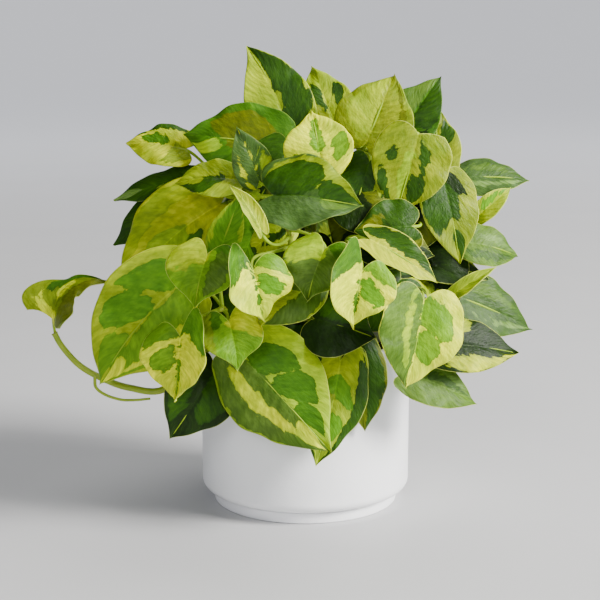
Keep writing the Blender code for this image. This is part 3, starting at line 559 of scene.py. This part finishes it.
# small leaves that fill the inside of the plant, and stand for no part of their own; most wear the darkest greens,
# painted shade for the plant's shaded inside
fillers = {
    "gap_left": leaf("top", 0.62, (-12, -60, 142), (-42, -66, 94), (0, -0.9, 0.4), 50, ("deep",
        ("olive", [(0.4, 0.5, 0.4, 0.4)]))),
    "gap_far": leaf("right", 0.85, (84, -50, 112), (62, -58, 66), (0, -0.9, 0.3), 48, ("dark",
        ("olive", [(0.4, 0.6, 0.4, 0.4)]))),
    "gap_middle": leaf("right", 0.6, (46, -58, 110), (24, -66, 64), (0, -0.9, 0.3), 48, ("dark",
        ("olive", [(0.4, -0.6, 0.4, 0.4)]))),
    "gap_right": leaf("right", 0.7, (30, -66, 118), (56, -74, 84), (0, -0.9, 0.3), 44, ("dark",
        ("olive", [(0.4, 0.6, 0.4, 0.4)]))),
    "long_green": leaf("left", 0.5, (-32, -80, 100), (-46, -88, 66), (0.1, -0.9, 0.2), 30, ("bright",
        ("deep", [(0.4, 0.5, 0.3, 0.4)]))),
    "pale_slip": leaf("front", 0.92, (-12, -84, 96), (-40, -86, 76), (0.1, -0.9, 0.3), 26, ("lime",
        ("deep", [(0.4, 0.2, 0.2, 0.2)]))),
    "olive_low": leaf("right", 0.55, (42, -70, 82), (90, -64, 70), (0.1, -0.8, 0.6), 40, ("dark",
        ("olive", [(0.5, 0.7, 0.5, 0.3)]))),
    "crown_edge": leaf("top", 0.78, (44, -62, 136), (32, -70, 96), (0, -0.9, 0.3), 36, ("deep",
        ("lime", [(0.4, 0.7, 0.5, 0.25)]))),
    "yellow_edge": leaf("left", 0.8, (-36, -70, 118), (-72, -62, 120), (0, -0.8, 0.5), 22, ("sharp",
        ("moss", [(0.4, 0.3, 0.3, 0.3)]))),
    "dark_one": leaf("front", 0.66, (0, -60, 82), (-30, -70, 46), (0, -0.9, 0.4), 48, paintedShadeLook),
    "dark_two": leaf("front", 0.6, (20, -64, 74), (-2, -74, 26), (0.1, -0.9, 0.3), 50, paintedShadeLook),
    "dark_three": leaf("front_right", 0.5, (66, -68, 54), (34, -78, 18), (0.1, -0.9, 0.3), 50, ("deep",
        ("dark", [(0.4, -0.3, 0.3, 0.4)]))),
    "dark_four": leaf("right", 0.6, (84, -46, 74), (110, -54, 34), (0.2, -0.9, 0.3), 50, ("dark",
        ("moss", [(0.4, -0.7, 0.4, 0.2)]))),
    "dark_five": leaf("right", 0.5, (44, -66, 72), (78, -62, 44), (0.1, -0.9, 0.4), 46, paintedShadeLook),
    "dark_six": leaf("front", 0.3, (-4, -78, 26), (-32, -84, -6), (0, -0.9, 0.3), 44, paintedShadeLook),
    "dark_seven": leaf("front_left", 0.5, (-58, -68, 52), (-68, -80, 12), (-0.1, -0.9, 0.3), 50, paintedShadeLook),
    "dark_eight": leaf("left", 0.4, (-34, -62, 72), (-56, -74, 40), (-0.1, -0.9, 0.3), 48, paintedShadeLook),
    "dark_nine": leaf("left", 0.58, (-62, -52, 94), (-84, -58, 66), (-0.1, -0.9, 0.3), 44, paintedShadeLook),
    "dark_ten": leaf("top", 0.55, (14, -52, 132), (-24, -60, 108), (0, -0.9, 0.4), 50, ("deep",
        ("moss", [(0.4, 0.6, 0.4, 0.3)]))),
    "dark_eleven": leaf("right", 0.66, (70, -46, 130), (92, -50, 92), (0.1, -0.9, 0.3), 48, paintedShadeLook),
    "dark_twelve": leaf("top", 0.7, (40, -44, 128), (12, -56, 94), (0, -0.9, 0.3), 50, paintedShadeLook),
}


vineWeb = Web("vine green", IOR=1.45, Subsurface_Weight=0.05, Subsurface_Scale=0.002)
streak = vineWeb.noise(vineWeb.place(), 130.0, 4.0)
skin = vineWeb.mix(streak, tint(112, 138, 10), tint(164, 184, 36))
skin = vineWeb.mix(vineWeb.value("joint").above(0.3, 0.9) * 0.7, skin, tint(104, 92, 40))
vineMaterial = vineWeb.feed(Base_Color=skin, Roughness=0.42 + streak * 0.15,
                            Normal=vineWeb.bump(streak, 0.0004, 0.5))

vinePaths = {}                   # the coarse path, which the leaves' "at" counts along
for name, vine in vines.items():
    knots, below = [place(*q) for q in vine["way"]], []
    if not vine.get("free"):
        x, y = vine["root"][0] * spread, vine["root"][1] * spread
        knots, below = [np.array([x, y, soilTop + 0.006])] + knots, [[x, y, soilTop - vineShape["rootDepth"]]]
    path, fine = np.vstack(below + [smoothPath(knots, 3)]), np.vstack(below + [smoothPath(knots, 10)])
    anchors = np.concatenate([[0.0] * len(below), len(below) + np.arange(len(fine) - len(below)) * 0.3])
    vinePaths[name] = path
    joints = np.zeros(len(fine))     # a knuckle wherever a leaf leaves the vine
    for spec in leaves.values():
        if spec["vine"] == name:
            joints = np.maximum(joints, np.exp(-((anchors - spec["at"] * (len(path) - 1)) / 0.28) ** 2))
    radii = vine.get("radius", vineShape["radius"]) * (1 - vineShape["taper"] * anchors / anchors[-1])
    radii = radii * vine.get("swell", 1.0) * (1 + vineShape["knuckle"] * joints)
    points, faces = tube(fine, radii, vineShape["sides"], (1, 0.2, 0.1), lambda a: 1 + 0.05 * np.cos(3 * a))
    piece = makePiece("stem" + name[4:], points, faces, vineMaterial,
                      numbers=dict(joint=np.concatenate([np.repeat(joints, vineShape["sides"]), [0, 0]])))
    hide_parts(name)
print(len(vines), "vines")


def halfWidth(s):                # outline of half a leaf: rounded shoulders, long point, 1 at its widest
    return (s + 0.12) ** 0.6 * (1 - s) * (1 - 0.35 * s ** 6) / 0.4163


def leafSheet(spec, s, t):
    # middle surface of a blade: a bent spine, each half swung up by its fold and curled across,
    # and the shoulders carried back past the petiole to make the heart's lobes
    base, tip = place(*spec["base"]), place(*spec["tip"])
    length = np.linalg.norm(tip - base)
    along = (tip - base) / length
    face = normalised(spec["face"])
    face = normalised(face - along * np.dot(face, along))
    across = np.cross(face, along)
    control = (base + tip) / 2 + (2 * spec["bow"] * face + 2 * spec["side"] * across) * spread
    s, t = np.asarray(s, float)[..., None], np.asarray(t, float)[..., None]
    spine = (1 - s) ** 2 * base + 2 * s * (1 - s) * control + s ** 2 * tip
    heading = normalised(2 * (1 - s) * (control - base) + 2 * s * (tip - control))
    up = normalised(face - heading * (heading @ face)[..., None])
    side = np.cross(up, heading)
    right = t > 0
    fold = np.radians(np.where(right, spec["fold"][1], spec["fold"][0]))
    curl = np.radians(np.where(right, spec["curl"][1], spec["curl"][0]))
    curl = np.where(np.abs(curl) < 1e-3, 1e-3, curl)
    lobe = np.where(right, spec["lobe"][1], spec["lobe"][0])
    reach = np.abs(t)
    narrow = np.where(right, spec["taper"][1], spec["taper"][0])
    ramp = np.clip((s - spec["taper"][2]) / (spec["taper"][3] - spec["taper"][2]), 0, 1)
    half = spec["width"] * spread / 2 * halfWidth(s) * (1 - narrow * ramp * ramp * (3 - 2 * ramp))
    out = half * (np.sin(fold + curl * reach) - np.sin(fold)) / curl
    lift = half * (np.cos(fold) - np.cos(fold + curl * reach)) / curl
    back = lobe * length * np.clip(1 - s / 0.5, 0, 1) ** 2 * np.sin(2.26 * reach ** 0.9)
    return spine + np.sign(t) * out * side + lift * up - back * heading


def petiolePath(spec, base, heading, steps):  # a cubic curve from the blade's foot, round into its vine
    stem = vinePaths[spec["vine"]]
    spot = spec["at"] * (len(stem) - 1)
    k = min(int(spot), len(stem) - 2)
    centre = stem[k] + (stem[k + 1] - stem[k]) * (spot - k)
    run = normalised(stem[k + 1] - stem[k])
    if spec["at"] < 1:           # square to the vine, from just off its middle
        aim = base - heading * np.linalg.norm(base - centre) * 0.3 - centre
        aim = normalised(aim - run * np.dot(aim, run))
        start = centre + aim * 0.0008
    else:                        # straight out of the vine's end
        aim, start = run, centre - run * 0.004
    span = np.linalg.norm(base - start)
    leave, arrive = base - heading * span * spec["leave"], start + aim * span * spec["arrive"]
    t = np.linspace(0, 1, steps + 1)[:, None]
    return (1 - t) ** 3 * base + 3 * t * (1 - t) ** 2 * leave + 3 * t ** 2 * (1 - t) * arrive + t ** 3 * start


def patchField(patches, s, t, length, half):
    # how far inside the nearest patch a point lies, in metres: a patch is a rounded box along the side veins
    vein = s - blade["slant"] * np.abs(t)
    field = np.full(s.shape, -0.05)
    for along, across, halfLong, halfWide in patches:
        middle = along - blade["slant"] * abs(across)
        reach = (np.abs((vein - middle) / halfLong) ** 2.6 + np.abs((t - across) / halfWide) ** 2.6) ** (1 / 2.6)
        field = np.maximum(field, (1 - reach) * min(halfLong * length, halfWide * half))
    return field


def leafPiece(name, spec, node=None):
    # a blade: the middle surface moved along its normal by ruffles that grow to the rim, a broad sway, quilting
    # between the side veins and a groove on the midrib; a skin above it and one below, closed all round, and the
    # stalk, a tapering tube under the midrib that runs on as the petiole
    rows, cols, seed = blade["rows"], blade["cols"], sum(ord(c) for c in name)
    rowS = np.sin(math.pi / 2 * np.linspace(0, 0.962, rows)) ** 2
    s, t = np.repeat(rowS[:, None], cols, 1), np.repeat(np.linspace(-1, 1, cols)[None, :], rows, 0)
    half, length = spec["width"] * spread / 2, np.linalg.norm(place(*spec["tip"]) - place(*spec["base"]))
    sheet, step = leafSheet(spec, s, t), 0.004
    alongStep = leafSheet(spec, s + step, t) - leafSheet(spec, s - step, t)
    acrossStep = leafSheet(spec, s, np.clip(t + step, -1, 1)) - leafSheet(spec, s, np.clip(t - step, -1, 1))
    normal = normalised(np.cross(alongStep, acrossStep))
    size = min(1.0, half / 0.03)
    reach, phase = np.abs(t), hashed(seed) * 6.28
    wave = np.sin(14 * s + phase + 1.3 * np.sign(t)) + 0.6 * np.sin(25 * s + 2 * phase - t)
    ruffle = blade["ruffle"] * size * reach ** 2.4 * wave
    sway = blade["sway"] * size * (np.sin(5 * s + phase) * np.sin(2.5 * t + phase)
                                   + 0.6 * np.sin(9 * s + 2 * phase) * np.sin(4 * t - phase))
    veins = (s - blade["slant"] * reach) * blade["veins"] + hashed(seed, 2)
    valley = np.clip(reach * 6, 0, 1) * np.clip((1 - reach) * 5, 0, 1)
    quilt = blade["quilt"] * size * (np.abs(np.sin(math.pi * veins)) ** 0.7 - 0.55) * valley
    fromRib = reach * half * halfWidth(s)
    groove = -blade["groove"] * size * np.exp(-(fromRib / 0.0011) ** 2) * (1 - s) ** 0.5
    sheet = sheet + normal * (ruffle + sway + quilt + groove)[..., None]
    thin = normal * (blade["thick"] * (1 - 0.55 * np.clip((reach - 0.9) * 10, 0, 1) ** 2))[..., None]
    tip = leafSheet(spec, np.array([1.0]), np.array([0.0]))
    count, end, last = s.size, 2 * s.size, (rows - 1) * cols
    points = np.vstack([(sheet + thin).reshape(-1, 3), (sheet - thin).reshape(-1, 3), tip])
    quads = gridFaces(rows, cols)
    r, c = np.arange(rows - 1) * cols, np.arange(cols - 1)
    left = np.stack([r, r + count, r + cols + count, r + cols], axis=1)
    right = np.stack([r, r + cols, r + cols + count, r + count], axis=1) + cols - 1
    foot = np.stack([c, c + 1, c + 1 + count, c + count], axis=1)
    fan = np.stack([last + c, np.full(cols - 1, end), last + c + 1], axis=1)
    fanLow = np.stack([last + c + 1 + count, np.full(cols - 1, end), last + c + count], axis=1)
    corners = [[last + cols - 1, end, last + cols - 1 + count], [last, last + count, end]]
    faces = np.vstack([quads[:, [0, 3, 2, 1]], quads + count, left, right, foot]).tolist()
    faces += fan.tolist() + fanLow.tolist() + corners
    ribS = np.linspace(0.93, 0.0, 26)
    ribUp = np.array([normal[int(np.argmin(np.abs(rowS - x))), cols // 2] for x in ribS])
    ribR = blade["stalk"] * (0.12 + 0.88 * (1 - ribS) ** 1.2)
    rib = leafSheet(spec, ribS, np.zeros(len(ribS)))
    rib = rib - ribUp * (ribR * 0.72 + blade["groove"] * size * (1 - ribS) ** 0.5)[:, None]
    petiole = petiolePath(spec, rib[-1], -normalised(rib[-1] - rib[-3]), 22)[1:]
    down = np.linspace(0, 1, len(petiole))
    radii = np.concatenate([ribR, blade["stalk"] * (1 - 0.12 * np.sin(math.pi * down) + 0.5 * down ** 6)])
    footAcross = sheet[0, cols // 2 + 2] - sheet[0, cols // 2 - 2]
    stalkPoints, stalkFaces = tube(np.vstack([rib, petiole]), radii, 10, footAcross,
                                   lambda a: 1 - 0.16 * np.exp(-((a - math.pi / 2) / 0.7) ** 2))
    more = len(stalkPoints)
    faces += [[i + len(points) for i in face] for face in stalkFaces]
    points = np.vstack([points, stalkPoints])
    rim, flat = np.vstack([sheet[0], sheet[:, 0], sheet[:, -1], tip]), sheet.reshape(-1, 3)
    edge = np.sqrt(((flat[:, None, :] - rim[None, :, :]) ** 2).sum(-1).min(1))

    def spreadOut(values, onTip, onStalk):       # one value for each point of both skins, the tip and the stalk
        values = np.asarray(values).reshape(-1)
        return np.concatenate([values, values, [onTip], np.full(more, onStalk)])
    rimmed = spec.get("rim", 0.12 if spec["vine"] in ("vine_top", "vine_left", "vine_back") else 0.55)
    numbers = dict(edge=spreadOut(edge * 1000, 0, 50), rimmed=np.full(len(points), rimmed),
                   rib=spreadOut(fromRib * 1000, 0, 0), along=spreadOut(s, 1, 0.5),
                   under=np.concatenate([np.zeros(count), np.ones(count), [0], np.zeros(more)]),
                   stalk=np.concatenate([np.zeros(end + 1), np.ones(more)]))
    ground, layers = spec["look"][0], spec["look"][1:]
    colours = dict(toneGround=np.tile(palette[ground], (len(points), 1)))
    for i, layer in enumerate("ABC"):
        hue, patches = layers[i] if i < len(layers) else (ground, [])
        colours["tone" + layer] = np.tile(palette[hue], (len(points), 1))
        numbers["field" + layer] = spreadOut(patchField(patches, s, t, length, half) * 1000, -9, -9)
    u = np.concatenate([(t * half * halfWidth(s) * 1000).ravel()] * 2 + [[0.0], np.zeros(more)])
    v = np.concatenate([veins.ravel()] * 2 + [[0.0], np.linspace(0, 4, more)]) + seed % 17
    piece = makePiece(name, points, faces, leafMaterial, numbers=numbers, colours=colours,
                      uv=np.stack([u, v], axis=1))
    if node:
        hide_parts(node)


def leafTint(red, green, blue):  # a screen colour as the leaf's own: purer, since the view softens bright colours
    rgb = np.array(tint(red, green, blue)[:3])
    grey = rgb @ (0.21, 0.72, 0.07)
    return (*np.clip(grey + (rgb - grey) * 1.18, 0.0004, 0.95), 1.0)


# dark, the deepest green, is partly the leaves' own dark green and partly painted shade: it colours leaves and patches
# that lie in shade inside and under the plant
palette = {key: leafTint(*rgb) for key, rgb in dict(
    cream=(218, 226, 92), butter=(204, 216, 60), straw=(170, 180, 30), lime=(150, 168, 20), khaki=(128, 142, 14),
    sharp=(146, 172, 12), olive=(92, 102, 4), moss=(122, 140, 6), bright=(94, 138, 18), green=(66, 102, 12),
    deep=(44, 72, 5), dark=(26, 44, 4), sage=(108, 146, 54), grey=(84, 110, 50), mist=(104, 130, 72),
    slate=(62, 86, 42)).items()}

leafWeb = Web("leaf variegated", IOR=1.4, Specular_IOR_Level=0.2, Subsurface_Weight=0.15,
              Subsurface_Radius=(0.7, 1.0, 0.1), Subsurface_Scale=0.002)
vein = leafWeb.add("ShaderNodeUVMap", dict(uv_map="veinMap"))      # across in mm, and along in side veins


def veinNoise(x, y, detail, rough):      # noise drawn out along the side veins
    return leafWeb.noise(leafWeb.stretch(vein, x, y, 1.0), 1.0, detail, rough)


broad, scallop = veinNoise(0.075, 0.85, 2.0, 0.5), veinNoise(0.22, 1.9, 2.0, 0.5)
nibble, pucker = veinNoise(0.8, 7.0, 2.0, 0.6), veinNoise(0.3, 1.7, 2.0, 0.5)
fleck, streaks = veinNoise(1.1, 6.0, 3.0, 0.6), veinNoise(0.13, 3.2, 4.0, 0.6)
wander = (broad - 0.5) * 9.0 + (scallop - 0.5) * 5.0 + (nibble - 0.5) * 1.6
where = leafWeb.place()
mottle, grit = leafWeb.noise(where, 90.0, 3.0), leafWeb.noise(where, 900.0, 2.0)
cloud = leafWeb.noise(where, 42.0, 3.0, 0.6)
# a patch shows where its distance inward plus the wandering noise is above nought, flecks around it, holes in it
colour = leafWeb.hue("toneGround")
for layer in "ABC":
    field, tone = leafWeb.value("field" + layer) + wander, leafWeb.hue("tone" + layer)
    flecks = fleck.above(0.61, 0.66) * field.above(-4.0, 0.5)
    holes = (1.0 - fleck).above(0.64, 0.69) * (1.0 - field.above(0.5, 4.0))
    mask = (field.above(-0.3, 0.3) * (1.0 - holes * 0.6)).most(flecks * 0.6)
    inside = leafWeb.mix(field.above(0.0, 2.2), leafWeb.times(tone, (0.80, 0.84, 0.74, 1)),
                         leafWeb.times(tone, (1.06, 1.06, 1.06, 1)))
    colour = leafWeb.mix(mask, colour, inside)
# then the whole is darkened and lightened by each pattern in turn
for pattern, low, high, dull, clear in ((streaks, 0.34, 0.68, (0.76, 0.80, 0.72, 1), (1.14, 1.12, 1.16, 1)),
                                        (mottle, 0.3, 0.7, (0.84, 0.86, 0.82, 1), (1.10, 1.08, 1.12, 1)),
                                        (cloud, 0.36, 0.64, (0.80, 0.85, 0.66, 1), (1.16, 1.10, 1.30, 1)),
                                        (pucker, 0.3, 0.7, (0.88, 0.90, 0.84, 1), (1.08, 1.06, 1.10, 1))):
    colour = leafWeb.times(colour, leafWeb.mix(pattern.above(low, high), dull, clear))
# a lighter line on each side vein, on the midrib and on the rim; a paler underside and a green stalk
ridge = (leafWeb.add("ShaderNodeSeparateXYZ", None, {0: vein}, out=1) * 6.2832).math("COSINE")
colour = leafWeb.mix(ridge.above(0.90, 1.0) * 0.3, colour, leafWeb.times(colour, (1.25, 1.25, 1.4, 1)))
ribLine = 1.0 - (leafWeb.value("rib") + leafWeb.value("along") * 0.4).above(0.45, 0.85)
colour = leafWeb.mix(ribLine * 0.7, colour, leafWeb.times(colour, (1.5, 1.45, 1.6, 1)))
rimLine = 1.0 - (leafWeb.value("edge") + (mottle - 0.5) * 0.5).above(0.26, 0.5)
colour = leafWeb.mix(rimLine * leafWeb.value("rimmed"), colour, tint(204, 216, 92))
colour = leafWeb.mix(leafWeb.value("under") * 0.4, colour, tint(136, 164, 84))
colour = leafWeb.mix(leafWeb.value("stalk"), colour, leafWeb.mix(mottle, tint(116, 150, 20), tint(158, 184, 44)))
relief = ridge * -0.05 + grit * 0.25 + fleck * 0.5 + streaks + pucker * 2.2
leafMaterial = leafWeb.feed(Base_Color=colour, Normal=leafWeb.bump(relief, 0.0005, 0.6),
                            Roughness=0.38 + mottle * 0.14 + leafWeb.value("under") * 0.16)


# leaves that fill the crown's sides, back and top: base, tip, face, width
crownLeaves = [
    ((-46, -6, 118), (-70, -2, 68), (-0.9, 0, 0.4), 54),
    ((-44, 26, 104), (-72, 36, 56), (-0.9, 0.2, 0.4), 54),
    ((-56, 10, 62), (-84, 8, 12), (-0.9, 0.1, 0.4), 56), ((-50, 44, 66), (-78, 58, 18), (-0.8, 0.4, 0.4), 52),
    ((-30, 30, 140), (-56, 40, 104), (-0.7, 0.2, 0.7), 48), ((52, 0, 116), (80, 6, 70), (0.9, 0, 0.4), 52),
    ((46, 32, 108), (74, 44, 62), (0.9, 0.2, 0.4), 52), ((60, 8, 64), (88, 4, 16), (0.9, 0, 0.4), 54),
    ((50, 46, 60), (80, 60, 14), (0.8, 0.4, 0.4), 52), ((34, 20, 142), (62, 26, 106), (0.7, 0.1, 0.7), 48),
    ((-18, 52, 108), (-34, 76, 64), (-0.2, 0.9, 0.4), 50), ((24, 52, 112), (32, 76, 68), (0.2, 0.9, 0.4), 50),
    ((24, 60, 58), (42, 82, 8), (0.2, 0.9, 0.4), 52), ((-28, 60, 54), (-46, 82, 6), (-0.2, 0.9, 0.4), 52),
    ((0, 36, 146), (10, 66, 114), (0.1, 0.7, 0.7), 46), ((-12, 2, 148), (-32, 32, 138), (-0.3, 0.2, 0.9), 46),
    ((28, 4, 144), (48, 34, 130), (0.3, 0.2, 0.9), 46), ((-62, 0, 92), (-100, 20, 62), (-0.7, 0.3, 0.7), 46),
    ((70, 10, 92), (104, 28, 66), (0.7, 0.3, 0.7), 46),
    ((-40, -24, 50), (-84, -30, 16), (-0.8, -0.2, 0.5), 50),
    ((48, -20, 46), (88, -28, 12), (0.8, -0.2, 0.5), 50),
    ((84, -30, 100), (110, -36, 62), (0.85, -0.3, 0.4), 44),
    ((76, -44, 58), (102, -50, 20), (0.85, -0.3, 0.4), 46),
    ((58, -36, 138), (80, -40, 106), (0.8, -0.2, 0.6), 42),
    ((-78, -24, 104), (-106, -28, 70), (-0.85, -0.3, 0.4), 46),
    ((-70, -44, 58), (-96, -50, 20), (-0.85, -0.3, 0.4), 48),
    ((-48, -36, 132), (-76, -36, 112), (-0.8, -0.2, 0.6), 38),
    ((12, -8, 150), (34, 10, 136), (0.2, 0.1, 0.95), 44)]
crownLooks = [("green", ("straw", [(0.5, 0.6, 0.4, 0.3), (0.3, -0.7, 0.2, 0.2)])),
              ("sharp", ("deep", [(0.4, -0.4, 0.3, 0.4), (0.6, 0.4, 0.2, 0.3)])),
              ("deep", ("lime", [(0.4, -0.7, 0.5, 0.25)]), ("moss", [(0.6, 0.5, 0.3, 0.3)])),
              ("grey", ("butter", [(0.6, 0.3, 0.2, 0.4)]), ("slate", [(0.3, -0.4, 0.2, 0.3)])),
              ("lime", ("green", [(0.4, 0.4, 0.2, 0.4), (0.5, -0.5, 0.2, 0.3)]))]
for number, (base, tip, face, width) in enumerate(crownLeaves):
    bladeFoot, nearest = place(*base), []        # the nearest place on a vine that lies below the blade's foot
    for vineName in ("top", "left", "right", "back"):
        path = vinePaths["vine_" + vineName]
        away = np.linalg.norm(path - bladeFoot, axis=1) + 2 * np.clip(path[:, 2] - bladeFoot[2] + 0.012, 0, 1)
        nearest.append((away[2:-1].min(), vineName, (2 + int(np.argmin(away[2:-1]))) / (len(path) - 1)))
    away, vineName, at = min(nearest)
    look = crownLooks[number % len(crownLooks)]
    leafPiece("inner_crown_%d" % (number + 1), leaf(vineName, at, base, tip, face, width, look, bow=5, rim=0.3))
for name, spec in leaves.items():
    leafPiece("blade_" + name, spec, node="leaf_" + name)
for name, spec in fillers.items():
    leafPiece("inner_" + name, spec)
print(len(leaves), "leaves and", len(fillers) + len(crownLeaves), "inner leaves")
